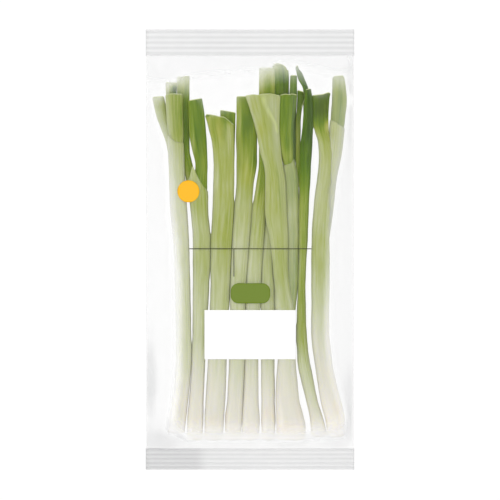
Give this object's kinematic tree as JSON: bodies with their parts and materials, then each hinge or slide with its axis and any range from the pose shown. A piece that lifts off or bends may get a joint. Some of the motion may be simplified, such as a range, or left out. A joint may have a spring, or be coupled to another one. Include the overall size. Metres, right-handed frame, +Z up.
{
  "type": "spring onion bunch in film packet",
  "caption": "Trimmed spring onions side by side in a clear film packet with crimped end seals, lying flat.",
  "frame": {"origin": "on the surface that the packet lies on, under the middle of its outline", "axes": "+X across the packet, +Y along it from the root ends to the leaf tops, +Z up out of its front"},
  "size_m": [0.142, 0.3, 0.0154],
  "materials": {
    "clear_film": "thin clear glossy film with a faint white haze",
    "pale_stem": "waxy satin onion skin, near white at the root end",
    "green_stem": "waxy satin onion skin, white below and green above, with fine ribs",
    "dark_stem": "waxy satin onion skin, darker green"
  },
  "bodies": {
    "root": {"film_packet": "clear_film", "onion_1": "pale_stem", "onion_2": "green_stem", "onion_3": "green_stem", "onion_4": "green_stem", "onion_5": "green_stem", "onion_6": "green_stem", "onion_7": "green_stem", "onion_8": "dark_stem", "onion_9": "green_stem"}
  },
  "joints": []
}
